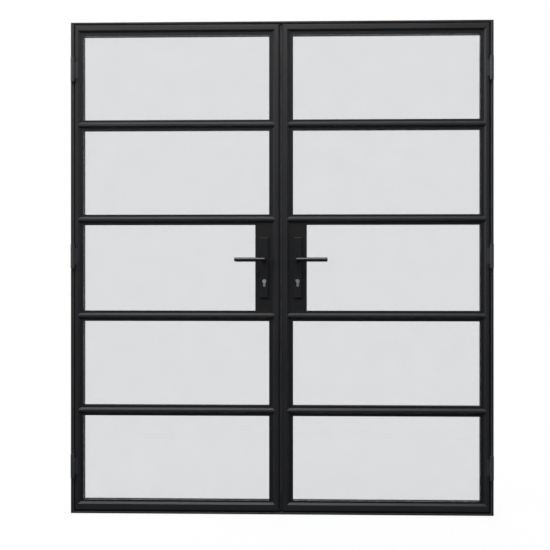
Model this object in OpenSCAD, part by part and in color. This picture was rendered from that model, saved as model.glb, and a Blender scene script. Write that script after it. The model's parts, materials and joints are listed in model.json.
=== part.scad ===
// Outward-opening pair of glazed doors in their frame: slim black profiles with a raised,
// bevelled face, five panes to a leaf, and a long-plate lever set on each leaf.
// Millimetres. X runs across, Z up, and the outside faces -Y.
// The origin is at the middle of the sill's underside.
// Each leaf is drawn on the +X side. The left leaf is its mirror image.

/* [Frame] */
// Width over the frame
frame_w = 1800; // [1500:10:2200]
// Height over the frame
frame_h = 2100; // [1950:10:2400]
// Depth of the frame, front to back
frame_d = 50; // [46:1:60]
// Width of the hollow box of each frame member
frame_box = 20; // [18:1:26]
// How far the stop behind the leaves stands in from the box
stop_lip = 13; // [12:1:15]
// Thickness of that stop
stop_t = 8; // [7:1:9]
// Strip of jamb that shows beside a leaf
jamb_strip = 7.5; // [6:0.5:8.5]
// Strip of head that shows above the leaves
head_strip = 4; // [3:0.5:6]
// Strip of sill that shows below the leaves
sill_strip = 5; // [3:0.5:6]
// Wall of every hollow profile
wall = 2; // [1.6:0.1:2.4]

/* [Leaves] */
// Gap between a jamb's strip and the leaf, which the hinge pins are centred on
hinge_gap = 4; // [3:0.5:5]
// Gap above and below a leaf
rail_gap = 3; // [2:0.5:4]
// Gap between the two leaves
meeting_gap = 6; // [5:0.5:8]
// Gap between a leaf's hollow core and the frame's box
core_gap = 3; // [2.5:0.5:4]
// Raised face of the hinge stile
hinge_face = 28.5; // [27:0.5:34]
// Raised face of the meeting stile
meeting_face = 32.5; // [27:0.5:36]
// Raised face of the top rail
top_face = 36; // [27:0.5:38]
// Raised face of the bottom rail
bottom_face = 41.5; // [27:0.5:42]
// Height and width of the bevels along each raised face
bevel = 9; // [6:0.5:10]
// Thickness of the flat shoulder that the raised face stands on
shoulder_t = 2.5; // [2:0.1:3]

/* [Glazing] */
// Outer edge of the frame to the glass, at a jamb
jamb_sight = 53; // [50:1:65]
// Outer edge of the frame to the glass, at the head and the sill
rail_sight = 57; // [56:1:70]
// Middle of the door to the glass, at the meeting stile
meeting_sight = 51; // [48:1:60]
// Glass to glass across a glazing bar
bar_sight = 44; // [40:1:56]
// Raised face of a glazing bar
bar_face = 26; // [24:0.5:32]
// Panes in each leaf
panes = 5; // [3:2:7]
// How much taller the middle pane is than the others
mid_taller = 7; // [0:1:20]
// Width of the beads that hold the glass
bead_w = 12; // [11:0.5:13]
// Thickness of a sheet of glass
sheet_t = 4; // [3:0.5:5]
// Space between the two sheets of a sealed pane
pane_space = 12; // [8:1:13]
// Thickness of the rubber in front of a pane
front_rubber = 2.5; // [2:0.5:3]
// Thickness of the rubber behind a pane
rear_rubber = 2; // [1.5:0.5:3]

/* [Hinges] */
// Height of a hinge
hinge_h = 102; // [90:1:120]
// Diameter of a hinge knuckle
knuckle_d = 17; // [14:0.5:17.5]
// Diameter of a hinge pin
pin_d = 8; // [6:0.5:9]
// Height of each end knuckle
end_knuckle = 16; // [14:1:22]
// Bottom of the frame to the middle of the lowest hinge
low_hinge = 204; // [150:1:400]
// Top of the frame to the middle of the highest hinge
high_hinge = 204; // [150:1:400]
// Bottom of the frame to the middle of the centre hinge
mid_hinge = 1100; // [1000:1:1200]

/* [Locks] */
// Middle of the middle pane up to the levers
lever_up = 35; // [20:1:60]
// Lever down to the key cylinder
lock_centres = 92; // [92:1:96]
// Middle of the door to the levers
spindle_x = 71; // [68:1:80]
// Middle of the door to the glass beside the lock
lock_sight = 110; // [108:1:130]
// Depth of the hollow lock panel, front to back
lock_box_d = 32; // [28:1:36]
// Width of a lever's plate
plate_w = 35; // [32:1:40]
// Height of a lever's plate
plate_h = 258; // [240:1:280]
// Thickness of a lever's plate
plate_t = 8; // [6:0.5:10]
// Lever up to the top of its plate
plate_rise = 94; // [85:1:105]
// Diameter of a lever
lever_d = 17.5; // [15:0.5:20]
// Spindle to the tip of the lever
lever_reach = 126; // [110:1:140]
// Plate to the middle of the lever
lever_stand = 42; // [36:1:50]
// Side of the square spindle
spindle_sq = 8; // [7:1:9]
// Height of a lock case
case_h = 190; // [180:1:200]
// Thickness of a lock case, front to back
case_t = 16; // [15:1:18]
// How far a lock case reaches into the leaf
case_w = 89; // [86:1:92]
// Length of the plate on a lock's edge
edge_plate_l = 240; // [210:1:260]
// Width of the plate on a lock's edge
edge_plate_w = 22; // [20:1:23]
// How far the latch stands out of the edge plate while it is held back by the strike plate
latch_out = 3; // [2:0.5:4]
// Travel of the deadbolt
deadbolt_throw = 20; // [15:1:22]
// Diameter of a shoot bolt
shoot_d = 7; // [6:0.5:8]
// Travel of a shoot bolt
shoot_throw = 16; // [14:1:18]

/* [Fixings] */
// Radius of the holes that fix the jambs
fixing_r = 4; // [3:0.5:5]
// Middle of the door's height to the outer holes
fixing_outer = 900; // [700:10:900]
// Middle of the door's height to the inner holes
fixing_inner = 300; // [200:10:400]

/* [Hidden] */
$fn = 64;

left = -1;
right = 1;
clearance = 0.3;
pin_slack = 0.05;
box_step = 1.5;
rear_gap = 2;
fold = 1;
half_w = frame_w / 2;

// Depth levels, from the outside to the inside
face_y = -frame_d / 2;
shoulder_y = face_y + bevel;
core_y = shoulder_y + shoulder_t;
back_y = frame_d / 2;
stop_y = back_y - stop_t;
step_y = stop_y - core_gap;
box_y = core_y + box_step;
glass_y = core_y + front_rubber;
space_y = glass_y + sheet_t;
inner_sheet_y = space_y + pane_space;
pane_back_y = inner_sheet_y + sheet_t;
bead_y = pane_back_y + rear_rubber;

// Distances in from the outer edge of the frame
stop_in = frame_box + stop_lip;
core_in = frame_box + core_gap;
rear_in = stop_in + rear_gap;
jamb_edge = jamb_strip + hinge_gap;
top_edge = head_strip + rail_gap;
bottom_edge = sill_strip + rail_gap;
pin_in = jamb_strip + hinge_gap / 2;

// Distances out from the middle of the door
meeting_edge = meeting_gap / 2;
meeting_core = meeting_sight - bead_w;
lock_core = lock_sight - bead_w;

// Glazing
plain_h = (frame_h - 2 * rail_sight - (panes - 1) * bar_sight - mid_taller) / panes;
pane_x0 = meeting_sight;
pane_x1 = half_w - jamb_sight;
lock_pane = (panes - 1) / 2;
glass_slack = 2;
rubber_inset = 0.5;
rubber_w = 8;
bead_wall = 1.5;
bead_slope = 4;
bead_gap = 0.2;
block_l = 60;
spacer_w = 5;
spacer_inset = 2;
function pane_h(i) = plain_h + ((i == lock_pane) ? mid_taller : 0);
function pane_z(i) = rail_sight + i * (plain_h + bar_sight) + ((i > lock_pane) ? mid_taller : 0);
function bar_z(i) = pane_z(i) - bar_sight / 2;
function pane_left(i) = (i == lock_pane) ? lock_sight : pane_x0;

// Hinges
knuckle_stand = 0.5;
pin_y = face_y - knuckle_d / 2 - knuckle_stand;
foot_in = 1;
foot_w = 6;
wing_t = 3;
wing_in = 30;
knuckle_gap = 0.3;
hinge_zs = [low_hinge, mid_hinge, frame_h - high_hinge];

// Locks
window = 0.4;
strike_window = 1;
lever_z = pane_z(lock_pane) + pane_h(lock_pane) / 2 + lever_up;
cylinder_z = lever_z - lock_centres;
lock_mid = lever_z - lock_centres / 2;
plate_z = lever_z + plate_rise - plate_h / 2;
lock_back_y = shoulder_y + lock_box_d;
lock_mid_y = (shoulder_y + lock_back_y) / 2;
cylinder_proud = 3;
cylinder_half = lock_box_d / 2 + plate_t + cylinder_proud;
edge_plate_t = wall;
case_wall = 1.5;
case_x = meeting_edge + edge_plate_t;
hub_r = 6.2;
rod_x = 20;
rod_y = -3;
rod_in_case = 20;
rod_clear = 0.5;
rod_sunk = 1;
latch_h = 20;
latch_t = 12;
latch_l = 42;
latch_lip = 3;
latch_slope = 11;
deadbolt_h = 24;
deadbolt_tail = 28;
deadbolt_l = deadbolt_throw + deadbolt_tail;
deadbolt_sunk = 1;
deadbolt_z = lock_mid + 1;
keep_t = 2;
keep_l = 40;
keep_w = 24;
cylinder_r = 8.5;
cylinder_stem = 10;
cylinder_drop = 24.5;
plug_r = 6.5;
cam_t = 9;
cam_slot = 10;
cam_slot_r = 15.5;
cam_r = 14.5;
cam_w = 8;
key_w = 1.8;
key_h = 8.5;
key_deep = 20;
key_drop = 1;
neck_hole_r = 10.5;
collar_r = 11.5;
collar_t = 3;
spindle_grip = 15;
plate_bevel = 2.5;
tip_round = 2.5;
lever_y = plate_t + lever_stand;
seal_t = 2.7;
seal_w = 6;
seal_in = 25;
joint_seal_sunk = 1.5;
meeting_seal_t = meeting_gap / 2 - clearance;
meeting_seal_d = 3.5;
meeting_seal_y = shoulder_y + 0.5;
frame_cleat_w = 0.6 * frame_box;
frame_cleat_arm = 90;
leaf_cleat_w = (jamb_sight - bead_w - core_in - 2 * wall) / 2;
leaf_cleat_arm = 70;
leaf_cleat_y = 2.5;
leaf_cleat_t = 8;
fixing_y = 5;
reach = 5;
through = 200;

// Outlines. A is measured in from an outer edge, B is the depth.
function ridge(a0, a1) = [
    [a0, shoulder_y], [a0 + bevel, face_y], [a1 - bevel, face_y], [a1, shoulder_y]
];

// The hollow under a raised face, with walls of even thickness under its bevels
function ridge_hollow(a0, a1) = let (k = wall * sqrt(2), d = bevel - wall) [
    [a0 + k, shoulder_y], [a0 + k + d, face_y + wall],
    [a1 - k - d, face_y + wall], [a1 - k, shoulder_y]
];

module rect(a0, b0, a1, b1) translate([a0, b0]) square([a1 - a0, b1 - b0]);

module block(x0, y0, z0, x1, y1, z1) translate([x0, y0, z0]) cube([x1 - x0, y1 - y0, z1 - z0]);

// The same outline, along Z from z0 to z1
module along_z(z0, z1) translate([0, 0, z0]) linear_extrude(z1 - z0) children();

// A measured down from the top of the frame, or up from its bottom, along X
module along_top(x0, x1) translate([x0, 0, frame_h]) rotate([0, 90, 0])
    linear_extrude(x1 - x0) children();

module along_bottom(x0, x1) translate([x1, 0, 0]) rotate([0, -90, 0])
    linear_extrude(x1 - x0) children();

// A measured in from the right-hand edge of the frame
module from_jamb() translate([half_w, 0, 0]) mirror([1, 0, 0]) children();

// An outline in X and Z, as deep as the door
module across_depth(points) rotate([90, 0, 0]) linear_extrude(through, center = true) polygon(points);

// Everything below is drawn for the right leaf
module on_side(side) {
    if (side == left) mirror([1, 0, 0]) children();
    else children();
}

module bare_metal() color([0.62, 0.63, 0.65]) children();
module black_paint() color([0.17, 0.17, 0.19]) children();
module grey_paint() color([0.3, 0.3, 0.31]) children();
module black_rubber() color([0.08, 0.08, 0.09]) children();
module clear_glass() color([0.84, 0.86, 0.88, 0.45]) children();

// ---- Frame ----

module frame_outline(strip) {
    rect(0, face_y, strip, box_y + fold);
    rect(0, box_y, frame_box, back_y);
    rect(frame_box - fold, stop_y, stop_in, back_y);
}

module frame_hollow() {
    rect(wall, box_y + wall, frame_box - wall, back_y - wall);
    rect(frame_box - wall - fold, stop_y + wall, stop_in - wall, back_y - wall);
}

module frame_profile(strip) difference() {
    frame_outline(strip);
    frame_hollow();
}

// Mitre line at a corner of the frame, from outside to inside
function frame_mitre(strip, side, top) = [
    for (p = [[-reach, -reach], [0, 0], [jamb_strip, strip], [stop_in + reach, stop_in + reach]])
        [side * (half_w - p[0]), top ? frame_h - p[1] : p[1]]
];

function reversed(list) = [for (i = [len(list) - 1:-1:0]) list[i]];

// What lies between two mitre lines, seen from the front
module between(line_a, line_b) across_depth(concat(line_a, reversed(line_b)));

module head() black_paint() intersection() {
    difference() {
        along_top(-half_w, half_w) frame_profile(head_strip);
        shoot_bolt_hole();
    }
    between(frame_mitre(head_strip, left, true), frame_mitre(head_strip, right, true));
}

module sill() black_paint() intersection() {
    difference() {
        along_bottom(-half_w, half_w) frame_profile(sill_strip);
        shoot_bolt_hole();
    }
    between(frame_mitre(sill_strip, left, false), frame_mitre(sill_strip, right, false));
}

module jamb(side) black_paint() on_side(side) intersection() {
    difference() {
        from_jamb() along_z(0, frame_h) frame_profile(jamb_strip);
        for (dz = [-fixing_outer, -fixing_inner, fixing_inner, fixing_outer])
            translate([half_w - frame_box - 1, fixing_y, frame_h / 2 + dz])
                rotate([0, 90, 0]) cylinder(r = fixing_r, h = frame_box + 2);
    }
    between(frame_mitre(sill_strip, right, false), frame_mitre(head_strip, right, true));
}

// An L seen from the front, with its corner at the origin
module corner_angle(width, arm) {
    square([arm, width]);
    square([width, arm]);
}

module frame_corner_cleats() bare_metal() {
    inset = wall + clearance;
    y0 = box_y + inset;
    y1 = back_y - inset;
    for (sx = [left, right], top = [false, true])
        translate([sx * half_w, 0, top ? frame_h : 0])
            mirror([sx == right ? 1 : 0, 0, 0]) mirror([0, 0, top ? 1 : 0])
                translate([inset, y1, inset]) rotate([90, 0, 0]) linear_extrude(y1 - y0)
                    corner_angle(frame_cleat_w, frame_cleat_arm);
}

// A ring seen from the front. Its outer and inner insets are each given at the jambs, head and sill.
module ring(outer, inner, y0, y1) difference() {
    block(-half_w + outer[0], y0, outer[2], half_w - outer[0], y1, frame_h - outer[1]);
    block(-half_w + inner[0], y0 - 1, inner[2], half_w - inner[0], y1 + 1, frame_h - inner[1]);
}

// One seal on the stop behind the leaves, and one that fills the joint round them
module frame_seal() black_rubber() {
    ring(seal_in * [1, 1, 1], (seal_in + seal_w) * [1, 1, 1], stop_y - seal_t, stop_y);
    ring([jamb_strip, head_strip, sill_strip],
        [jamb_edge, top_edge, bottom_edge] - clearance * [1, 1, 1], face_y + joint_seal_sunk, box_y);
}

// The way that the shoot bolts take through the frame
module shoot_bolt_hole() translate([-rod_x, rod_y, -1])
    cylinder(r = shoot_d / 2 + rod_clear, h = frame_h + 2);

module shoot_bolt_keeps() bare_metal() difference() {
    union() {
        for (z = [frame_box, frame_h - frame_box - keep_t])
            block(-rod_x - keep_l / 2, -keep_w / 2, z, -rod_x + keep_l / 2, keep_w / 2, z + keep_t);
    }
    shoot_bolt_hole();
}

// ---- Hinges ----

module at_pin(z) translate([half_w - pin_in, pin_y, z]) children();

module pin_bore() translate([0, 0, -1]) cylinder(d = pin_d + 2 * pin_slack, h = hinge_h + 2);

module hinge_frame_knuckles() grey_paint() for (side = [left, right], z = hinge_zs)
    on_side(side) for (dz = [-hinge_h / 2, hinge_h / 2 - end_knuckle]) difference() {
        union() {
            at_pin(z + dz) cylinder(d = knuckle_d, h = end_knuckle);
            block(half_w - foot_in - foot_w, pin_y, z + dz, half_w - foot_in, face_y, z + dz + end_knuckle);
        }
        at_pin(z + dz) pin_bore();
    }

module hinge_pins() bare_metal() for (side = [left, right], z = hinge_zs)
    on_side(side) at_pin(z - hinge_h / 2) cylinder(d = pin_d, h = hinge_h);

module hinge_leaf_knuckles(side) grey_paint() on_side(side) for (z = hinge_zs) {
    z0 = z - hinge_h / 2 + end_knuckle + knuckle_gap;
    z1 = z + hinge_h / 2 - end_knuckle - knuckle_gap;
    difference() {
        union() {
            at_pin(z0) cylinder(d = knuckle_d, h = z1 - z0);
            block(half_w - wing_in, face_y - wing_t, z0, half_w - pin_in, face_y, z1);
        }
        at_pin(z0) pin_bore();
    }
}

// ---- Leaves ----

// Mitre line at a corner of a leaf. It runs at 45 degrees up each bevel, so that they meet.
function leaf_mitre(u, v, top, from_edge) = [
    for (i = [0:5]) [from_edge ? half_w - u[i] : u[i], top ? frame_h - v[i] : v[i]]
];

function mitre_steps(edge, face, sight) = [
    edge - reach, edge + bevel, edge + face - bevel, edge + face, sight, sight + reach
];

hinge_steps = mitre_steps(jamb_edge, hinge_face, jamb_sight);
meeting_steps = mitre_steps(meeting_edge, meeting_face, meeting_sight);
top_steps = mitre_steps(top_edge, top_face, rail_sight);
bottom_steps = mitre_steps(bottom_edge, bottom_face, rail_sight);

module face_outline(edge, face, sight) {
    polygon(ridge(edge, edge + face));
    rect(edge, shoulder_y, sight, core_y);
}

module face_hollow(edge, face) polygon(ridge_hollow(edge, edge + face));

// The hollows of a hinge stile or a rail
module member_hollows(edge, face, core) {
    face_hollow(edge, face);
    rect(core_in + wall, core_y + wall, core - wall, step_y - wall);
    rect(rear_in + wall, step_y - wall - fold, core - wall, back_y - wall);
}

module hinge_stile(side) black_paint() on_side(side) intersection() {
    core = jamb_sight - bead_w;
    from_jamb() difference() {
        union() {
            along_z(bottom_edge, frame_h - top_edge) face_outline(jamb_edge, hinge_face, jamb_sight);
            along_z(core_in, frame_h - core_in) rect(core_in, core_y, core, step_y);
            along_z(rear_in, frame_h - rear_in) rect(rear_in, step_y, core, back_y);
        }
        along_z(0, frame_h) member_hollows(jamb_edge, hinge_face, core);
    }
    between(leaf_mitre(hinge_steps, bottom_steps, false, true),
        leaf_mitre(hinge_steps, top_steps, true, true));
}

module meeting_stile(side) black_paint() on_side(side) difference() {
    intersection() {
        difference() {
            union() {
                along_z(bottom_edge, frame_h - top_edge)
                    face_outline(meeting_edge, meeting_face, meeting_sight);
                along_z(core_in, frame_h - core_in) rect(meeting_edge, core_y, meeting_core, step_y);
                along_z(rear_in, frame_h - rear_in) rect(meeting_edge, step_y, meeting_core, back_y);
            }
            along_z(0, frame_h) {
                face_hollow(meeting_edge, meeting_face);
                rect(meeting_edge + wall, core_y + wall, meeting_core - wall, back_y - wall);
            }
        }
        between(leaf_mitre(meeting_steps, bottom_steps, false, false),
            leaf_mitre(meeting_steps, top_steps, true, false));
    }
    edge_plate_cut();
    lock_case_cut();
    leaf_bolt_hole(side);
}

// A rail along Z, from the meeting edge outwards
module rail_solid(edge, face) {
    core = rail_sight - bead_w;
    difference() {
        union() {
            linear_extrude(half_w - jamb_edge - meeting_edge) face_outline(edge, face, rail_sight);
            linear_extrude(half_w - core_in - meeting_edge) rect(core_in, core_y, core, step_y);
            linear_extrude(half_w - rear_in - meeting_edge) rect(rear_in, step_y, core, back_y);
        }
        translate([0, 0, -1]) linear_extrude(half_w) member_hollows(edge, face, core);
    }
}

module top_rail(side) black_paint() on_side(side) intersection() {
    difference() {
        translate([meeting_edge, 0, frame_h]) rotate([0, 90, 0]) rail_solid(top_edge, top_face);
        leaf_bolt_hole(side);
    }
    between(leaf_mitre(meeting_steps, top_steps, true, false),
        leaf_mitre(hinge_steps, top_steps, true, true));
}

module bottom_rail(side) black_paint() on_side(side) intersection() {
    difference() {
        translate([meeting_edge, 0, 0]) mirror([0, 0, 1]) rotate([0, 90, 0])
            rail_solid(bottom_edge, bottom_face);
        leaf_bolt_hole(side);
    }
    between(leaf_mitre(meeting_steps, bottom_steps, false, false),
        leaf_mitre(hinge_steps, bottom_steps, false, true));
}

// Where the shoot bolts leave the left leaf
module leaf_bolt_hole(side) if (side == left)
    translate([rod_x, rod_y, 0]) cylinder(r = shoot_d / 2 + rod_clear, h = frame_h);

// A bar seen from above. Its ends are scribed to the stiles' bevels and shoulders.
module bar_plan() {
    face_m = meeting_edge + meeting_face;
    face_h = half_w - jamb_edge - hinge_face;
    core_h = pane_x1 + bead_w;
    polygon([
        [face_m - bevel - 1, face_y - 1], [face_m, shoulder_y], [pane_x0, shoulder_y],
        [pane_x0, core_y], [meeting_core, core_y], [meeting_core, back_y + 1],
        [core_h, back_y + 1], [core_h, core_y], [pane_x1, core_y],
        [pane_x1, shoulder_y], [face_h, shoulder_y], [face_h + bevel + 1, face_y - 1]
    ]);
}

module bar_profile() {
    half_core = bar_sight / 2 - bead_w;
    difference() {
        union() {
            polygon(ridge(-bar_face / 2, bar_face / 2));
            rect(-bar_sight / 2, shoulder_y, bar_sight / 2, core_y);
            rect(-half_core, core_y, half_core, back_y);
        }
        face_hollow(-bar_face / 2, bar_face);
        rect(-half_core + wall, core_y + wall, half_core - wall, back_y - wall);
    }
}

module glazing_bars(side) black_paint() on_side(side) for (i = [1:panes - 1]) intersection() {
    translate([0, 0, bar_z(i)]) rotate([0, 90, 0]) linear_extrude(half_w) bar_profile();
    along_z(bar_z(i) - bar_sight, bar_z(i) + bar_sight) bar_plan();
}

// A frame-shaped ring round a pane, between two distances out from the edge of the glass seen
module pane_ring(i, inner, outer, y0, y1) difference() {
    block(pane_left(i) - outer, y0, pane_z(i) - outer,
        pane_x1 + outer, y1, pane_z(i) + pane_h(i) + outer);
    block(pane_left(i) - inner, y0 - 1, pane_z(i) - inner,
        pane_x1 + inner, y1 + 1, pane_z(i) + pane_h(i) + inner);
}

// A sealed pane: two sheets with a spacer between them
module pane(side, i) clear_glass() on_side(side) {
    cover = bead_w - glass_slack;
    for (y = [glass_y, inner_sheet_y])
        block(pane_left(i) - cover, y, pane_z(i) - cover,
            pane_x1 + cover, y + sheet_t, pane_z(i) + pane_h(i) + cover);
    pane_ring(i, spacer_inset, spacer_inset + spacer_w, space_y, inner_sheet_y);
}

// A bead's section. It is a thin channel with a sloping inner edge.
module bead_outline(inset) {
    w = bead_w - inset;
    slope = bead_slope + inset * (sqrt(2) - 1);
    polygon([
        [inset, bead_y + inset], [w, bead_y + inset], [w, back_y - inset],
        [slope, back_y - inset], [inset, back_y - slope]
    ]);
}

module bead_section() difference() {
    bead_outline(0);
    bead_outline(bead_wall);
}

module glazing_beads(side) black_paint() on_side(side) for (i = [0:panes - 1]) {
    x0 = pane_left(i);
    z0 = pane_z(i);
    z1 = z0 + pane_h(i);
    lying = pane_x1 - x0 + 2 * bead_w;
    standing = pane_h(i) - 2 * bead_gap;
    translate([x0 - bead_w, 0, z1]) rotate([0, -90, 0]) mirror([0, 0, 1])
        linear_extrude(lying) bead_section();
    translate([x0 - bead_w, 0, z0]) rotate([0, 90, 0]) linear_extrude(lying) bead_section();
    translate([pane_x1, 0, z0 + bead_gap]) linear_extrude(standing) bead_section();
    translate([x0, 0, z0 + bead_gap]) mirror([1, 0, 0]) linear_extrude(standing) bead_section();
}

// Rubber strips in front of and behind each pane, and the blocks that it stands on
module glazing_rubbers(side) black_rubber() on_side(side) for (i = [0:panes - 1]) {
    pane_ring(i, rubber_inset, rubber_w, core_y, glass_y);
    pane_ring(i, rubber_inset, rubber_w, pane_back_y, bead_y);
    span = pane_x1 - pane_left(i);
    for (x = [pane_left(i) + span / 5, pane_x1 - span / 5])
        block(x - block_l / 2, glass_y, pane_z(i) - bead_w,
            x + block_l / 2, pane_back_y, pane_z(i) - bead_w + glass_slack);
}

module corner_cleats(side) bare_metal() on_side(side) {
    inset = core_in + wall + clearance;
    for (top = [false, true])
        translate([0, leaf_cleat_y + leaf_cleat_t, top ? frame_h : 0])
            mirror([0, 0, top ? 1 : 0]) {
                translate([half_w - inset, 0, inset]) mirror([1, 0, 0]) rotate([90, 0, 0])
                    linear_extrude(leaf_cleat_t) corner_angle(leaf_cleat_w, leaf_cleat_arm);
                translate([meeting_edge + wall + clearance, 0, inset]) rotate([90, 0, 0])
                    linear_extrude(leaf_cleat_t) corner_angle(leaf_cleat_w, leaf_cleat_arm);
            }
}

module meeting_seal(side) black_rubber() on_side(side)
    block(meeting_edge - meeting_seal_t, meeting_seal_y, core_in,
        meeting_edge, meeting_seal_y + meeting_seal_d, frame_h - core_in);

// ---- Locks ----

module euro_outline(grow) {
    r = cylinder_stem / 2 + grow;
    circle(r = cylinder_r + grow);
    rect(-r, -cylinder_drop + cylinder_stem / 2, r, 0);
    translate([0, -cylinder_drop + cylinder_stem / 2]) circle(r = r);
}

// Outlines in X and Z at the key cylinder, from depth y0 to y1
module at_cylinder(y0, y1) translate([spindle_x, y1, cylinder_z]) rotate([90, 0, 0])
    linear_extrude(y1 - y0) children();

module at_spindle(y0, y1) translate([spindle_x, y1, lever_z]) rotate([90, 0, 0])
    linear_extrude(y1 - y0) children();

// A block of the given depth and height, centred on the lock
module lock_block(x0, x1, depth, height)
    block(x0, -depth / 2, lock_mid - height / 2, x1, depth / 2, lock_mid + height / 2);

module edge_plate_cut()
    lock_block(0, case_x, edge_plate_w + 2 * clearance, edge_plate_l + 2 * clearance);

module lock_case_cut()
    lock_block(0, case_x + case_w + clearance, case_t + 2 * clearance, case_h + 2 * clearance);

// The hollow panel that holds the lock case, beside the middle pane
module lock_box(side) black_paint() on_side(side) {
    z0 = pane_z(lock_pane);
    z1 = z0 + pane_h(lock_pane);
    difference() {
        union() {
            along_z(z0, z1) rect(pane_x0, shoulder_y, lock_sight, core_y);
            along_z(z0 - bead_w, z1 + bead_w) {
                rect(meeting_core, core_y, lock_core, lock_back_y);
                rect(lock_core - wall, lock_back_y, lock_core, back_y);
            }
        }
        along_z(z0 - bead_w - 1, z1 + bead_w + 1)
            rect(meeting_core + wall, core_y + wall, lock_core - wall, lock_back_y - wall);
        lock_case_cut();
        at_spindle(-through, through) circle(r = neck_hole_r);
        at_cylinder(-through, through) euro_outline(clearance);
    }
}

// Windows for the latch and the deadbolt
module bolt_windows(slack) {
    block(-1, -latch_t / 2 - slack, lever_z - latch_h / 2 - slack,
        case_x + case_wall + 1, latch_t / 2 + slack, lever_z + latch_h / 2 + slack);
    block(-1, -latch_t / 2 - slack, deadbolt_z - deadbolt_h / 2 - slack,
        case_x + case_wall + 1, latch_t / 2 + slack, deadbolt_z + deadbolt_h / 2 + slack);
}

module edge_plate() lock_block(meeting_edge, case_x, edge_plate_w, edge_plate_l);

module lock_case(side) bare_metal() on_side(side) difference() {
    union() {
        lock_block(case_x, case_x + case_w, case_t, case_h);
        if (side == right) edge_plate();
    }
    lock_block(case_x + case_wall, case_x + case_w - case_wall,
        case_t - 2 * case_wall, case_h - 2 * case_wall);
    bolt_windows(side == right ? window : strike_window);
    at_spindle(-through, through) circle(r = hub_r);
    at_cylinder(-through, through) euro_outline(clearance);
    leaf_bolt_hole(side);
}

module left_strike_plate() bare_metal() on_side(left) difference() {
    edge_plate();
    bolt_windows(strike_window);
}

// A bevelled outline of a lever's plate
module plate_outline(size) polygon([
    [-size / 2, shoulder_y], [size / 2, shoulder_y],
    [size / 2, shoulder_y - plate_t + plate_bevel], [size / 2 - plate_bevel, shoulder_y - plate_t],
    [plate_bevel - size / 2, shoulder_y - plate_t], [-size / 2, shoulder_y - plate_t + plate_bevel]
]);

// A plate with bevelled edges, and a raised collar round the lever's neck
module handle_plate() difference() {
    union() {
        translate([spindle_x, 0, plate_z]) intersection() {
            along_z(-plate_h / 2, plate_h / 2) plate_outline(plate_w);
            rotate([0, 90, 0]) linear_extrude(plate_w, center = true) plate_outline(plate_h);
        }
        at_spindle(shoulder_y - plate_t - collar_t, shoulder_y - plate_t) circle(r = collar_r);
    }
    at_spindle(-through, through) circle(d = lever_d + 2 * clearance);
    at_cylinder(-through, through) euro_outline(clearance);
}

// What is drawn for the outside, turned about to the inside of the lock panel
module inside_out() translate([0, shoulder_y + lock_back_y, 0]) mirror([0, 1, 0]) children();

module handle_plates(side) black_paint() on_side(side) {
    handle_plate();
    inside_out() handle_plate();
}

module lever() difference() {
    bar_y = shoulder_y - lever_y;
    r = lever_d / 2;
    union() {
        translate([spindle_x, shoulder_y - 1, lever_z]) rotate([90, 0, 0])
            cylinder(r = r, h = shoulder_y - 1 - bar_y);
        translate([spindle_x, bar_y, lever_z]) sphere(r = r);
        translate([spindle_x, bar_y, lever_z]) rotate([0, 90, 0]) rotate_extrude() union() {
            square([r - tip_round, lever_reach]);
            square([r, lever_reach - tip_round]);
            translate([r - tip_round, lever_reach - tip_round]) intersection() {
                circle(r = tip_round);
                square(tip_round);
            }
        }
    }
    socket = spindle_sq + 2 * pin_slack;
    translate([spindle_x, shoulder_y, lever_z])
        cube([socket, 2 * (plate_t + spindle_grip + clearance), socket], center = true);
}

module lever_outside(side) black_paint() on_side(side) lever();

module lever_inside(side) black_paint() on_side(side) inside_out() lever();

module spindle(side) bare_metal() on_side(side) translate([spindle_x, lock_mid_y, lever_z])
    cube([spindle_sq, lock_box_d + 2 * (plate_t + spindle_grip), spindle_sq], center = true);

// Both ends of the cylinder, with a slot between them for the plug's cam
module cylinder_body(side) bare_metal() on_side(side) difference() {
    at_cylinder(lock_mid_y - cylinder_half, lock_mid_y + cylinder_half) euro_outline(0);
    at_cylinder(-through, through) circle(r = plug_r + pin_slack);
    at_cylinder(lock_mid_y - cam_slot / 2, lock_mid_y + cam_slot / 2) circle(r = cam_slot_r);
}

module cylinder_plug(side) bare_metal() on_side(side) difference() {
    union() {
        at_cylinder(lock_mid_y - cylinder_half, lock_mid_y + cylinder_half) circle(r = plug_r);
        at_cylinder(lock_mid_y - cam_t / 2, lock_mid_y + cam_t / 2) {
            translate([-cam_w / 2, -cam_r + cam_w / 2]) square([cam_w, cam_r - cam_w / 2]);
            translate([0, -cam_r + cam_w / 2]) circle(d = cam_w);
        }
    }
    for (end = [-1, 1])
        translate([spindle_x, lock_mid_y + end * cylinder_half, cylinder_z - key_drop])
            cube([key_w, 2 * key_deep, key_h], center = true);
}

// Its slope faces the inside, so that it rides over the strike plate as the leaf shuts
module right_latch_bolt() bare_metal() along_z(lever_z - latch_h / 2, lever_z + latch_h / 2)
    polygon([
        [meeting_edge - latch_out, -latch_t / 2], [meeting_edge + latch_l, -latch_t / 2],
        [meeting_edge + latch_l, latch_t / 2],
        [meeting_edge - latch_out + latch_slope, latch_t / 2],
        [meeting_edge - latch_out, -latch_t / 2 + latch_lip]
    ]);

module right_deadbolt() bare_metal() translate([meeting_edge + deadbolt_sunk, 0, deadbolt_z])
    translate([0, -latch_t / 2, -deadbolt_h / 2]) cube([deadbolt_l, latch_t, deadbolt_h]);

module shoot_rod(z0, z1) bare_metal() on_side(left) translate([rod_x, rod_y, z0])
    cylinder(d = shoot_d, h = z1 - z0);

// Both rods are drawn back into the leaf, and each throw still leaves them in the lock case
module left_top_bolt() shoot_rod(lock_mid + case_h / 2 - rod_in_case - shoot_throw,
    frame_h - core_in - rod_sunk);

module left_bottom_bolt() shoot_rod(core_in + rod_sunk,
    lock_mid - case_h / 2 + rod_in_case + shoot_throw);

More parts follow.
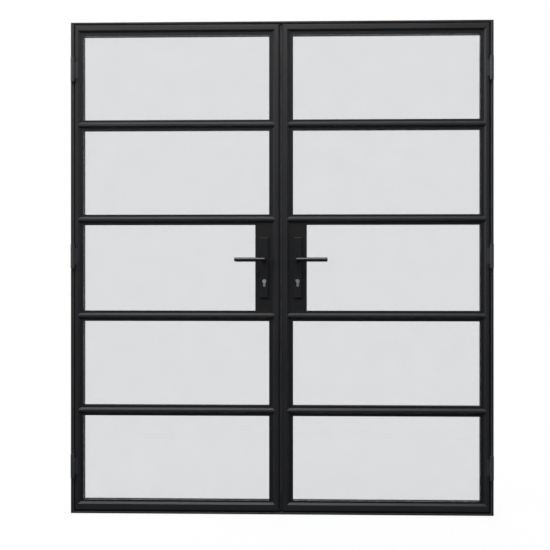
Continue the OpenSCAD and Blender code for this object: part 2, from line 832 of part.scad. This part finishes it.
head();
sill();
jamb(left);  // left_jamb
jamb(right);  // right_jamb
frame_corner_cleats();
frame_seal();
hinge_frame_knuckles();
hinge_pins();
shoot_bolt_keeps();
hinge_stile(left);  // left_hinge_stile
meeting_stile(left);  // left_meeting_stile
top_rail(left);  // left_top_rail
bottom_rail(left);  // left_bottom_rail
glazing_bars(left);  // left_glazing_bars
pane(left, 0);  // left_pane_1
pane(left, 1);  // left_pane_2
pane(left, 2);  // left_pane_3
pane(left, 3);  // left_pane_4
pane(left, 4);  // left_pane_5
glazing_beads(left);  // left_glazing_beads
glazing_rubbers(left);  // left_glazing_rubbers
corner_cleats(left);  // left_corner_cleats
hinge_leaf_knuckles(left);  // left_hinge_leaf_knuckles
lock_box(left);  // left_lock_box
meeting_seal(left);  // left_meeting_seal
lock_case(left);  // left_lock_case
left_strike_plate();
handle_plates(left);  // left_handle_plates
cylinder_body(left);  // left_cylinder_body
cylinder_plug(left);  // left_cylinder_plug
lever_outside(left);  // left_lever_outside
lever_inside(left);  // left_lever_inside
spindle(left);  // left_spindle
left_top_bolt();
left_bottom_bolt();
hinge_stile(right);  // right_hinge_stile
meeting_stile(right);  // right_meeting_stile
top_rail(right);  // right_top_rail
bottom_rail(right);  // right_bottom_rail
glazing_bars(right);  // right_glazing_bars
pane(right, 0);  // right_pane_1
pane(right, 1);  // right_pane_2
pane(right, 2);  // right_pane_3
pane(right, 3);  // right_pane_4
pane(right, 4);  // right_pane_5
glazing_beads(right);  // right_glazing_beads
glazing_rubbers(right);  // right_glazing_rubbers
corner_cleats(right);  // right_corner_cleats
hinge_leaf_knuckles(right);  // right_hinge_leaf_knuckles
lock_box(right);  // right_lock_box
meeting_seal(right);  // right_meeting_seal
lock_case(right);  // right_lock_case
handle_plates(right);  // right_handle_plates
cylinder_body(right);  // right_cylinder_body
cylinder_plug(right);  // right_cylinder_plug
lever_outside(right);  // right_lever_outside
lever_inside(right);  // right_lever_inside
spindle(right);  // right_spindle
right_latch_bolt();
right_deadbolt();
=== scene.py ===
import json
import math

import bmesh
import bpy
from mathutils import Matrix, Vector


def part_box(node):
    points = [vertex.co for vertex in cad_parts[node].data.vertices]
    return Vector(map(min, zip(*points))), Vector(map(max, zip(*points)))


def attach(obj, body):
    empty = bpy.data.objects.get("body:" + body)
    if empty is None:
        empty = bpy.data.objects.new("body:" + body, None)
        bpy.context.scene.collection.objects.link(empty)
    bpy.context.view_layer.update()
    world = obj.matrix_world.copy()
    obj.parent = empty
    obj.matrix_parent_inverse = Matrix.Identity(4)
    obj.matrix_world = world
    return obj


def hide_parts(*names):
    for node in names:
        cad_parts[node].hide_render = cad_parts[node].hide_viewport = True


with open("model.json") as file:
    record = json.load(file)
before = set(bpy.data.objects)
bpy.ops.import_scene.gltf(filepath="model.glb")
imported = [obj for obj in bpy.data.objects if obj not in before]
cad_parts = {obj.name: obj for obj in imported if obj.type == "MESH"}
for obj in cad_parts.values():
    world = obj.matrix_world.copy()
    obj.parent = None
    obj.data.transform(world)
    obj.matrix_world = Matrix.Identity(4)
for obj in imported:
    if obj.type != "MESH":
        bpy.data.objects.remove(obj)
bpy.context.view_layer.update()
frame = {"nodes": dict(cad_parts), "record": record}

scene = bpy.context.scene
NODES = frame["nodes"]
SLOT_OF = {part["node"]: part["material_slot"] for part in frame["record"]["subparts"]}
MM = 0.001


# --- Materials ------------------------------------------------------------------------------------

class Graph:
    """A material's node tree, with a short name for each kind of node that the materials use."""

    def __init__(self, name):
        self.material = bpy.data.materials.new(name)
        self.material.use_nodes = True
        self.tree = self.material.node_tree
        self.tree.nodes.clear()
        self.out = self.node("ShaderNodeOutputMaterial")
        self.place = self.node("ShaderNodeTexCoord").outputs["Object"]
        self.facing = self.place.node.outputs["Normal"]

    def node(self, kind, **settings):
        made = self.tree.nodes.new(kind)
        for name, value in settings.items():
            setattr(made, name, value)
        return made

    def put(self, socket, value):
        if isinstance(value, bpy.types.NodeSocket):
            self.tree.links.new(value, socket)
        elif isinstance(value, tuple) and len(value) == 3 and socket.type == "RGBA":
            socket.default_value = (*value, 1)
        else:
            socket.default_value = value

    def stretched(self, scale):
        made = self.node("ShaderNodeMapping")
        self.put(made.inputs["Vector"], self.place)
        made.inputs["Scale"].default_value = scale
        return made.outputs["Vector"]

    def noise(self, scale, detail=3.0, rough=0.5, where=None):
        made = self.node("ShaderNodeTexNoise")
        self.put(made.inputs["Vector"], where or self.place)
        made.inputs["Scale"].default_value = scale
        made.inputs["Detail"].default_value = detail
        made.inputs["Roughness"].default_value = rough
        return made.outputs["Fac"]

    def cells(self, scale):
        """A different colour in each cell of an irregular net."""
        made = self.node("ShaderNodeTexVoronoi")
        self.put(made.inputs["Vector"], self.place)
        made.inputs["Scale"].default_value = scale
        return made.outputs["Color"]

    def spread(self, value, low, high, to_low, to_high):
        made = self.node("ShaderNodeMapRange", clamp=True)
        for name, given in zip(("Value", "From Min", "From Max", "To Min", "To Max"),
                               (value, low, high, to_low, to_high)):
            self.put(made.inputs[name], given)
        return made.outputs["Result"]

    def maths(self, operation, *values):
        made = self.node("ShaderNodeMath", operation=operation)
        for socket, value in zip(made.inputs, values):
            self.put(socket, value)
        return made.outputs[0]

    def mix(self, share, first, second):
        made = self.node("ShaderNodeMix", data_type="RGBA")
        sockets = [s for s in made.inputs if s.enabled]
        for socket, value in zip(sockets, (share, first, second)):
            self.put(socket, value)
        return next(s for s in made.outputs if s.enabled)

    def bump(self, height, strength, distance, before=None):
        made = self.node("ShaderNodeBump")
        made.inputs["Strength"].default_value = strength
        made.inputs["Distance"].default_value = distance
        self.put(made.inputs["Height"], height)
        if before is not None:
            self.put(made.inputs["Normal"], before)
        return made.outputs["Normal"]

    def axis(self, vector, name):
        split = self.node("ShaderNodeSeparateXYZ")
        self.put(split.inputs[0], vector)
        return split.outputs[name]

    def edges(self, radius):
        """1 on a sharp outer edge, fading to 0 at the given radius from it."""
        rounded = self.node("ShaderNodeBevel", samples=4)
        rounded.inputs["Radius"].default_value = radius
        true = self.node("ShaderNodeNewGeometry").outputs["True Normal"]
        dot = self.node("ShaderNodeVectorMath", operation="DOT_PRODUCT")
        self.put(dot.inputs[0], rounded.outputs["Normal"])
        self.put(dot.inputs[1], true)
        return self.spread(dot.outputs["Value"], 0.80, 0.995, 1.0, 0.0)

    def surface(self, **sockets):
        made = self.node("ShaderNodeBsdfPrincipled")
        for name, value in sockets.items():
            self.put(made.inputs[name.replace("_", " ")], value)
        self.put(self.out.inputs["Surface"], made.outputs["BSDF"])
        return made

    def mixed_surface(self, share, first, second):
        made = self.node("ShaderNodeMixShader")
        for socket, value in zip(made.inputs, (share, first, second)):
            self.put(socket, value)
        self.put(self.out.inputs["Surface"], made.outputs[0])


def shade(colour, factor):
    return tuple(c * factor for c in colour)


# The depth of the flat shoulder that the raised faces stand on, and the share of the coat's colour
# that painted shade leaves there
SHOULDER = -0.016
SHOULDER_SHADE = 0.25
DUST = (0.16, 0.155, 0.145)


def powder_coat(name, colour, rough, level, dust, peel=0.16):
    """Satin powder coat: orange peel, a slight change of gloss, dust on what faces up and rubbed
    edges. The flat shoulder that the raised faces stand on is duller, and painted shade darkens its
    colour."""
    g = Graph(name)
    broad = g.noise(2.3, 4, 0.55)
    blotch = g.noise(46, 3, 0.6)
    grain = g.noise(1500, 2, 0.6)
    tone = g.mix(g.spread(broad, 0.32, 0.68, 0, 1), shade(colour, 0.84), shade(colour, 1.16))
    tone = g.mix(g.spread(grain, 0.45, 0.8, 0, 0.28), tone, shade(colour, 1.9))
    # Painted shade: the mask flat darkens the coat on the flat shoulder behind the raised faces
    depth = g.maths("ABSOLUTE", g.maths("SUBTRACT", g.axis(g.place, "Y"), SHOULDER))
    flat = g.spread(depth, 0.0004, 0.0008, 1, 0)
    tone = g.mix(flat, tone, shade(colour, SHOULDER_SHADE))
    up = g.maths("MULTIPLY", g.spread(g.axis(g.facing, "Z"), 0.35, 0.95, 0, dust),
                 g.spread(blotch, 0.3, 0.7, 0.45, 1))
    tone = g.mix(up, tone, DUST)
    worn = g.maths("MULTIPLY", g.edges(0.0016),
                   g.spread(g.noise(75, 5, 0.65), 0.46, 0.66, 0.0, 0.55))
    tone = g.mix(worn, tone, shade(colour, 3.4))
    gloss = g.maths("ADD", g.spread(broad, 0.3, 0.7, rough - 0.035, rough + 0.045),
                    g.spread(grain, 0.3, 0.7, -0.02, 0.03))
    gloss = g.maths("ADD", gloss, g.maths("MULTIPLY", g.maths("ADD", up, flat), 0.25))
    peeled = g.bump(g.noise(620, 2, 0.5), peel, 0.00025)
    g.surface(Base_Color=tone, Roughness=gloss, Specular_IOR_Level=level,
              Normal=g.bump(grain, 0.05, 0.0001, peeled))
    return g.material


def bare_metal(name, colour, rough, along, spangle=0.0, scratched=0.4):
    """Brushed or plated metal, with fine lines and a mottled tone. The lines run along the axis
    with the smallest number, and the spangle is the flaky look of zinc."""
    g = Graph(name)
    lines = g.noise(900, 4, 0.7, g.stretched(along))
    mottle = g.noise(60, 4, 0.6)
    tone = g.mix(g.spread(mottle, 0.3, 0.7, 0, 1), shade(colour, 0.80), shade(colour, 1.08))
    if spangle:
        tone = g.mix(g.spread(g.cells(190), 0.1, 0.9, 0, spangle), tone, shade(colour, 1.25))
    tone = g.mix(g.spread(lines, 0.35, 0.7, 0, scratched), tone, shade(colour, 0.62))
    gloss = g.maths("ADD", g.spread(lines, 0.3, 0.7, rough - 0.06, rough + 0.10),
                    g.spread(mottle, 0.35, 0.7, 0, 0.08))
    g.surface(Base_Color=tone, Metallic=1.0, Roughness=gloss, Normal=g.bump(lines, 0.12, 0.0001))
    return g.material


def black_rubber(name, dark, light, level):
    """Matt rubber with a fine-grained skin and a paler bloom in patches."""
    g = Graph(name)
    fine = g.noise(1900, 3, 0.6)
    bloom = g.noise(18, 4, 0.6)
    tone = g.mix(g.spread(bloom, 0.35, 0.7, 0, 1), dark, light)
    g.surface(Base_Color=tone, Roughness=g.spread(bloom, 0.3, 0.7, 0.66, 0.82),
              Specular_IOR_Level=level, Normal=g.bump(fine, 0.25, 0.0002))
    return g.material


def sealed_glass(name):
    """A sealed pane's clear glass, faintly wavy and filmed. Light falls straight through it."""
    g = Graph(name)
    wave = g.noise(1.7, 2, 0.4, g.stretched((1.0, 1.0, 0.45)))
    film = g.noise(9, 5, 0.6)
    tint = g.mix(g.spread(film, 0.3, 0.7, 0, 1),
                 (0.850, 0.856, 0.862), (0.862, 0.867, 0.872))
    glass = g.surface(Base_Color=tint, Transmission_Weight=1.0, IOR=1.5, Roughness=0.0,
                      Normal=g.bump(wave, 0.02, 0.0006))
    toward_lamp = g.node("ShaderNodeLightPath").outputs["Is Shadow Ray"]
    clear = g.node("ShaderNodeBsdfTransparent")
    clear.inputs["Color"].default_value = (0.86, 0.87, 0.88, 1)
    g.mixed_surface(toward_lamp, glass.outputs["BSDF"], clear.outputs["BSDF"])
    return g.material


# One material for each material slot of the record
MATERIALS = {
    "frame_black": powder_coat("frame_powder_coat", (0.0200, 0.0202, 0.0210), 0.42, 0.40, 0.22),
    "leaf_black": powder_coat("leaf_powder_coat", (0.0175, 0.0178, 0.0188), 0.40, 0.40, 0.16),
    "handle_black": powder_coat("handle_powder_coat", (0.0105, 0.0107, 0.0114), 0.38, 0.36, 0.10,
                                peel=0.09),
    "hinge_metal": powder_coat("hinge_powder_coat", (0.039, 0.039, 0.042), 0.38, 0.50, 0.10,
                               peel=0.08),
    "cylinder_metal": bare_metal("satin_nickel", (0.52, 0.515, 0.50), 0.35, (1.0, 0.15, 0.02)),
    "steel": bare_metal("zinc_plated_steel", (0.50, 0.515, 0.54), 0.36, (1.0, 1.0, 0.03),
                        spangle=0.35),
    "rubber": black_rubber("glazing_rubber", (0.009, 0.009, 0.0095), (0.021, 0.021, 0.022), 0.25),
    "glass": sealed_glass("sealed_glass"),
}

# Finishes that differ from their slot's: the turning plugs, the levers, and the seals that show
PLUG = bare_metal("bright_nickel", (0.92, 0.91, 0.89), 0.25, (0.02, 0.15, 1.0), scratched=0.15)
LEVER = powder_coat("lever_powder_coat", (0.0045, 0.0046, 0.0050), 0.25, 0.80, 0.06, peel=0.07)
JOINT_SEAL = black_rubber("weather_rubber", (0.050, 0.050, 0.053), (0.078, 0.078, 0.081), 0.35)
OWN_FINISH = {side + piece: material for side in ("left_", "right_") for piece, material in (
    ("cylinder_plug", PLUG), ("lever_outside", LEVER), ("lever_inside", LEVER))}
OWN_FINISH["frame_seal"] = JOINT_SEAL


# --- The CAD nodes: finish and softened edges -----------------------------------------------------

SAME_PLACE = 0.01 * MM
ON_FACE = 0.05 * MM
FLAT = math.radians(0.6)
SHARP = math.radians(28)


def modifier_group(name):
    """An empty geometry-nodes group that takes a geometry and gives one back."""
    group = bpy.data.node_groups.new(name, "GeometryNodeTree")
    for direction in ("INPUT", "OUTPUT"):
        group.interface.new_socket("Geometry", in_out=direction, socket_type="NodeSocketGeometry")
    return group


def clean_group():
    """Joins the corners that the import split, and leaves the shading to the modifiers after it."""
    group = modifier_group("joined_corners")
    steps = [group.nodes.new(kind) for kind in (
        "NodeGroupInput", "GeometryNodeRemoveAttribute", "GeometryNodeMergeByDistance",
        "GeometryNodeSetShadeSmooth", "NodeGroupOutput")]
    steps[1].inputs["Name"].default_value = "custom_normal"
    steps[2].inputs["Distance"].default_value = SAME_PLACE
    for before, after in zip(steps, steps[1:]):
        group.links.new(before.outputs[0], after.inputs[0])
    return group


CLEAN = clean_group()


def marking_group(name, tests):
    """Marks the edges that pass every test, for a bevel that goes by weight. A test is a quantity,
    the way it is compared and a limit."""
    group = modifier_group(name)
    new, link = group.nodes.new, group.links.new
    split = new("ShaderNodeSeparateXYZ")
    link(new("GeometryNodeInputPosition").outputs[0], split.inputs[0])
    ends = new("GeometryNodeInputMeshEdgeVertices")
    length = new("ShaderNodeVectorMath")
    length.operation = "DISTANCE"
    link(ends.outputs["Position 1"], length.inputs[0])
    link(ends.outputs["Position 2"], length.inputs[1])
    angle = new("GeometryNodeInputMeshEdgeAngle")
    known = {"y": split.outputs["Y"], "z": split.outputs["Z"], "length": length.outputs["Value"],
             "angle": angle.outputs["Unsigned Angle"]}
    passed = None
    for quantity, operation, limit in tests:
        test = new("ShaderNodeMath")
        test.operation = operation
        link(known[quantity], test.inputs[0])
        test.inputs[1].default_value = limit
        if passed is None:
            passed = test.outputs[0]
            continue
        both = new("ShaderNodeMath")
        both.operation = "MULTIPLY"
        link(passed, both.inputs[0])
        link(test.outputs[0], both.inputs[1])
        passed = both.outputs[0]
    store = new("GeometryNodeStoreNamedAttribute")
    store.data_type, store.domain = "FLOAT", "EDGE"
    store.inputs["Name"].default_value = "bevel_weight_edge"
    link(passed, store.inputs["Value"])
    link(new("NodeGroupInput").outputs[0], store.inputs["Geometry"])
    link(store.outputs["Geometry"], new("NodeGroupOutput").inputs[0])
    return group


# The long profiles are rounded along their length only. A bevel of all their sharp edges would be
# held to nothing by the tiny steps at their mitres.
PROFILES = ("head", "sill", "_jamb", "_rail", "_stile")
LONG = [("angle", "GREATER_THAN", SHARP), ("length", "GREATER_THAN", 0.5)]
LENGTHWISE = marking_group("lengthwise_edges", LONG)

# The lock's recess comes within 0.2 mm of the meeting stiles' edge at this depth, which stays sharp
LOCK_EDGE = -11.5 * MM
BESIDE_LOCK = (
    marking_group("edges_in_front", LONG + [("y", "LESS_THAN", LOCK_EDGE - 0.1 * MM)]),
    marking_group("edges_behind", LONG + [("y", "GREATER_THAN", LOCK_EDGE + 0.1 * MM)]))

# The head's upper front edge has a larger round of its own
NOSE = 2.6 * MM
HEAD_FRONT, HEAD_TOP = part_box("head")[0][1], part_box("head")[1][2]
HEAD_NOSE = marking_group("upper_front_edge", [("y", "LESS_THAN", HEAD_FRONT + ON_FACE),
                                               ("z", "GREATER_THAN", HEAD_TOP - ON_FACE)])


def add_bevel(obj, width, segments, marks=None):
    """A rounding of every sharp edge, or of the edges that the group of nodes marks."""
    if marks:
        obj.modifiers.new(marks.name, "NODES").node_group = marks
    rounded = obj.modifiers.new("rounded", "BEVEL")
    rounded.width = width
    rounded.segments = segments
    rounded.limit_method = "WEIGHT" if marks else "ANGLE"
    rounded.angle_limit = SHARP
    rounded.use_clamp_overlap = not marks


def soften(obj, width):
    """Joined corners, one face for each flat surface, and rounded edges of the given width."""
    obj.modifiers.new("joined", "NODES").node_group = CLEAN
    merged = obj.modifiers.new("merged", "DECIMATE")
    merged.decimate_type = "DISSOLVE"
    merged.angle_limit = FLAT
    if obj.name == "head":
        add_bevel(obj, NOSE, 4, HEAD_NOSE)
    if obj.name.endswith("_meeting_stile"):
        for marks in BESIDE_LOCK:
            add_bevel(obj, width, 2, marks)
    else:
        add_bevel(obj, width, 2, LENGTHWISE if obj.name.endswith(PROFILES) else None)
    obj.modifiers.new("shaded", "WEIGHTED_NORMAL").keep_sharp = True


EDGE = {"frame_black": 0.8 * MM, "leaf_black": 0.4 * MM, "handle_black": 0.5 * MM,
        "hinge_metal": 0.5 * MM, "cylinder_metal": 0.3 * MM, "steel": 0.3 * MM}
for name, obj in NODES.items():
    slot = SLOT_OF[name]
    if not obj.material_slots:
        obj.data.materials.append(None)
    for used in obj.material_slots:
        used.link = "OBJECT"
        used.material = OWN_FINISH.get(name, MATERIALS[slot])
    if slot in EDGE:
        soften(obj, EDGE[slot])


def new_object(name, mesh, material):
    """An object from a finished bmesh, which is freed."""
    bmesh.ops.recalc_face_normals(mesh, faces=mesh.faces)
    data = bpy.data.meshes.new(name)
    mesh.to_mesh(data)
    mesh.free()
    data.materials.append(material)
    made = bpy.data.objects.new(name, data)
    scene.collection.objects.link(made)
    return made


# --- Screws ---------------------------------------------------------------------------------------

RIM_POINTS = 36
RIM_STEP = 2 * math.pi / RIM_POINTS


def screw_head(mesh, centre, out, radius, height, turned):
    """A low head with a rounded rim and a hexagon socket, standing on a face that looks along out.
    The socket is turned by so many of the rim's points."""
    out = Vector(out)
    side = Vector((0, 0, 1)) if abs(out.z) < 0.5 else Vector((1, 0, 0))
    cross = out.cross(side)

    def ring(count, r, h, start=0.0):
        angles = [start + 2 * math.pi * k / count for k in range(count)]
        return [mesh.verts.new(Vector(centre) + out * h
                               + (side * math.cos(a) + cross * math.sin(a)) * r) for a in angles]

    def band(low, high):
        for k in range(len(low)):
            n = (k + 1) % len(low)
            mesh.faces.new((low[k], low[n], high[n], high[k])).smooth = True

    profile = [(1.0, 0.0), (1.0, 0.45), (0.97, 0.72), (0.90, 0.92), (0.82, 1.0)]
    rings = [ring(RIM_POINTS, radius * r, height * h) for r, h in profile]
    for low, high in zip(rings, rings[1:]):
        band(low, high)
    top = rings[-1]
    lip = ring(6, radius * 0.50, height, turned * RIM_STEP)
    seat = ring(6, radius * 0.46, height * 0.12, turned * RIM_STEP)
    for k in range(6):
        n = (k + 1) % 6
        outer = [top[(6 * k + j + turned) % RIM_POINTS] for j in range(7)]
        mesh.faces.new(outer + [lip[n], lip[k]])
        mesh.faces.new((lip[k], lip[n], seat[n], seat[k]))
    mesh.faces.new(seat)


def screws(name, body, slot, out, size, places):
    """Screw heads of one size, each turned a little further than the one before."""
    mesh = bmesh.new()
    for number, place in enumerate(places):
        screw_head(mesh, place, out, *size, number * 2 % 6)
    made = new_object(name, mesh, MATERIALS[slot])
    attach(made, body)


# Radius and height of a head, and the distance from a plate's end to its screws
PLATE_SCREW, PLATE_SCREW_IN = (4.2 * MM, 1.3 * MM), 16 * MM
EDGE_SCREW, EDGE_SCREWS_IN = (3.8 * MM, 0.7 * MM), (10 * MM, 34 * MM)
# A long plate's box ends at the collar round the lever, which stands this far out of the plate
COLLAR = 3 * MM
# The cylinder's fixing screw, level with the cylinder, and the one between the strike's windows
EDGE_PLATE_MIDDLE, STRIKE_PLATE_MIDDLE = 0.993, 1.0635

for side in ("left", "right"):
    low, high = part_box(side + "_handle_plates")
    middle = (low[0] + high[0]) / 2
    screws(side + "_plate_screws", side + "_leaf", "handle_black", (0, 1, 0), PLATE_SCREW,
           [(middle, high[1] - COLLAR, z)
            for z in (low[2] + PLATE_SCREW_IN, high[2] - PLATE_SCREW_IN)])


def edge_screw_places(face, bottom, top, middle):
    near, far = EDGE_SCREWS_IN
    return [(face, 0, z) for z in (bottom + near, bottom + far, middle, top - far, top - near)]


low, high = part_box("right_lock_case")
screws("right_edge_plate_screws", "right_leaf", "steel", (-1, 0, 0), EDGE_SCREW,
       edge_screw_places(low[0], low[2], high[2], EDGE_PLATE_MIDDLE))
low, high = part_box("left_strike_plate")
screws("left_strike_plate_screws", "left_leaf", "steel", (1, 0, 0), EDGE_SCREW,
       edge_screw_places(high[0], low[2], high[2], STRIKE_PLATE_MIDDLE))


# --- Seals between the leaves ---------------------------------------------------------------------

SEAL_ROWS = 24


def bulb_seal(name, body, node, edge, toward):
    """A rubber bulb on a leaf's meeting edge. Both bulbs meet in the middle of the joint."""
    low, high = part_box(node)
    middle, half = (low[1] + high[1]) / 2, (high[1] - low[1]) / 2
    outline = [(0.0, -half), (0.35, -half), (0.45, -half * 0.66)]
    outline += [(0.45 + 0.55 * math.sin(a), -half * 0.86 * math.cos(a))
                for a in (math.pi * k / 12 for k in range(1, 12))]
    outline += [(0.45, half * 0.66), (0.35, half), (0.0, half)]
    mesh = bmesh.new()
    rows = []
    for step in range(SEAL_ROWS + 1):
        z = low[2] + (high[2] - low[2]) * step / SEAL_ROWS
        rows.append([mesh.verts.new((edge + toward * abs(edge) * a, middle + b, z))
                     for a, b in outline])
    for below, above in zip(rows, rows[1:]):
        for i in range(len(outline)):
            j = (i + 1) % len(outline)
            side = mesh.faces.new((below[i], below[j], above[j], above[i]))
            side.smooth = 2 < i < len(outline) - 3
    mesh.faces.new(rows[0])
    mesh.faces.new(rows[-1])
    made = new_object(name, mesh, JOINT_SEAL)
    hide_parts(node)
    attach(made, body)


bulb_seal("left_bulb_seal", "left_leaf", "left_meeting_seal",
          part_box("left_meeting_seal")[0][0], 1)
bulb_seal("right_bulb_seal", "right_leaf", "right_meeting_seal",
          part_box("right_meeting_seal")[1][0], -1)


# --- Stage, lights and camera ---------------------------------------------------------------------

def floor_material():
    """White, with a faint shadow close to the object that fades into plain white further out."""
    g = Graph("studio_floor")
    glow = g.node("ShaderNodeEmission")
    paper = g.node("ShaderNodeBsdfDiffuse")
    paper.inputs["Color"].default_value = (0.9, 0.9, 0.9, 1)
    far = g.node("ShaderNodeVectorMath", operation="LENGTH")
    g.put(far.inputs[0], g.place)
    grain = g.noise(40, 4, 0.6)
    near = g.maths("MULTIPLY", g.spread(far.outputs["Value"], 0.9, 2.2, 0.10, 0.0),
                   g.spread(grain, 0.2, 0.8, 0.95, 1.0))
    g.mixed_surface(near, glow.outputs[0], paper.outputs[0])
    return g.material


def make_floor(half=60.0, drop=0.4 * MM):
    """A wide floor, a hair below the sill's underside so that the two don't share a plane."""
    data = bpy.data.meshes.new("studio_floor")
    corners = [(-half, -half), (half, -half), (half, half), (-half, half)]
    data.from_pydata([(x, y, -drop) for x, y in corners], [], [(0, 1, 2, 3)])
    data.materials.append(floor_material())
    floor = bpy.data.objects.new("studio_floor", data)
    scene.collection.objects.link(floor)
    floor.visible_diffuse = False
    floor.visible_glossy = False


make_floor()


def panes_collection():
    """The panes, which the lamps leave out: a lamp mirrored in glass is a hard white shape."""
    group = bpy.data.collections.new("panes_without_lamps")
    for name, obj in NODES.items():
        if SLOT_OF[name] == "glass":
            group.objects.link(obj)
    for member in group.collection_objects:
        member.light_linking.link_state = "EXCLUDE"
    return group


PANES = panes_collection()


def soft_box(name, place, target, size, power, colour):
    """A rectangular lamp that points at a target. It lights the object, and isn't seen itself."""
    data = bpy.data.lights.new(name, "AREA")
    data.shape = "RECTANGLE"
    data.size, data.size_y = size
    data.energy = power
    data.color = colour
    lamp = bpy.data.objects.new(name, data)
    scene.collection.objects.link(lamp)
    lamp.location = place
    lamp.rotation_euler = (Vector(target) - Vector(place)).to_track_quat("-Z", "Y").to_euler()
    lamp.visible_camera = False
    lamp.visible_transmission = False
    lamp.light_linking.receiver_collection = PANES


soft_box("key_light", (-0.7, -1.7, 3.5), (-0.25, 0.0, 1.6), (3.2, 1.0), 47, (1.0, 0.982, 0.96))
soft_box("top_light", (-0.6, -0.45, 4.4), (-0.2, -0.1, 1.0), (3.6, 1.8), 44, (1.0, 0.99, 0.975))
soft_box("left_light", (-3.4, -1.9, 2.6), (0.0, 0.0, 1.3), (1.2, 2.6), 41, (1.0, 0.99, 0.98))
soft_box("right_light", (3.4, -1.9, 2.6), (0.0, 0.0, 1.3), (1.2, 2.6), 7, (0.90, 0.95, 1.0))
soft_box("back_light", (0.4, 2.6, 3.2), (0.0, 0.0, 1.2), (3.0, 1.4), 70, (0.97, 0.98, 1.0))

# The studio's brightness from straight down (0) to straight up (1)
SKY_STOPS = [(0.0, (0.043, 0.047, 0.054)), (0.42, (0.095, 0.105, 0.13)), (0.5, (0.24, 0.26, 0.30)),
             (0.62, (0.35, 0.365, 0.40)), (1.0, (0.60, 0.61, 0.64))]


def make_world():
    """Soft grey light from all round, behind which the camera sees plain white."""
    world = bpy.data.worlds.new("studio")
    world.use_nodes = True
    tree = world.node_tree
    tree.nodes.clear()
    new, link = tree.nodes.new, tree.links.new
    split = new("ShaderNodeSeparateXYZ")
    link(new("ShaderNodeTexCoord").outputs["Generated"], split.inputs[0])
    height = new("ShaderNodeMapRange")
    height.inputs["From Min"].default_value = -1
    link(split.outputs["Z"], height.inputs["Value"])
    sky = new("ShaderNodeValToRGB")
    link(height.outputs["Result"], sky.inputs["Fac"])
    while len(sky.color_ramp.elements) < len(SKY_STOPS):
        sky.color_ramp.elements.new(0.5)
    for stop, (height_share, colour) in zip(sky.color_ramp.elements, SKY_STOPS):
        stop.position = height_share
        stop.color = (*colour, 1)
    around, behind = new("ShaderNodeBackground"), new("ShaderNodeBackground")
    link(sky.outputs["Color"], around.inputs["Color"])
    behind.inputs["Color"].default_value = (1, 1, 1, 1)
    path = new("ShaderNodeLightPath")
    seen = new("ShaderNodeMath")
    seen.operation = "MAXIMUM"
    link(path.outputs["Is Camera Ray"], seen.inputs[0])
    link(path.outputs["Is Transmission Ray"], seen.inputs[1])
    both = new("ShaderNodeMixShader")
    link(seen.outputs[0], both.inputs[0])
    link(around.outputs[0], both.inputs[1])
    link(behind.outputs[0], both.inputs[2])
    link(both.outputs[0], new("ShaderNodeOutputWorld").inputs["Surface"])
    scene.world = world


make_world()
scene.view_settings.view_transform = "Standard"

# The photograph's camera: width, focal length and shift in pixels, sensor in millimetres, and its
# place and turn
PHOTO_WIDTH, FOCAL_LENGTH, SHIFT = 550, 1000, -5.96
SENSOR = 36
CAMERA_PLACE, CAMERA_TURN = (0.097, -4.2795, 1.0447), 0.0288

camera_data = bpy.data.cameras.new("camera")
camera_data.sensor_width = SENSOR
camera_data.lens = SENSOR * FOCAL_LENGTH / PHOTO_WIDTH
camera_data.shift_y = SHIFT / PHOTO_WIDTH
camera_data.clip_end = 200
camera = bpy.data.objects.new("camera", camera_data)
scene.collection.objects.link(camera)
camera.location = CAMERA_PLACE
camera.rotation_euler = (math.pi / 2, 0, CAMERA_TURN)
scene.camera = camera
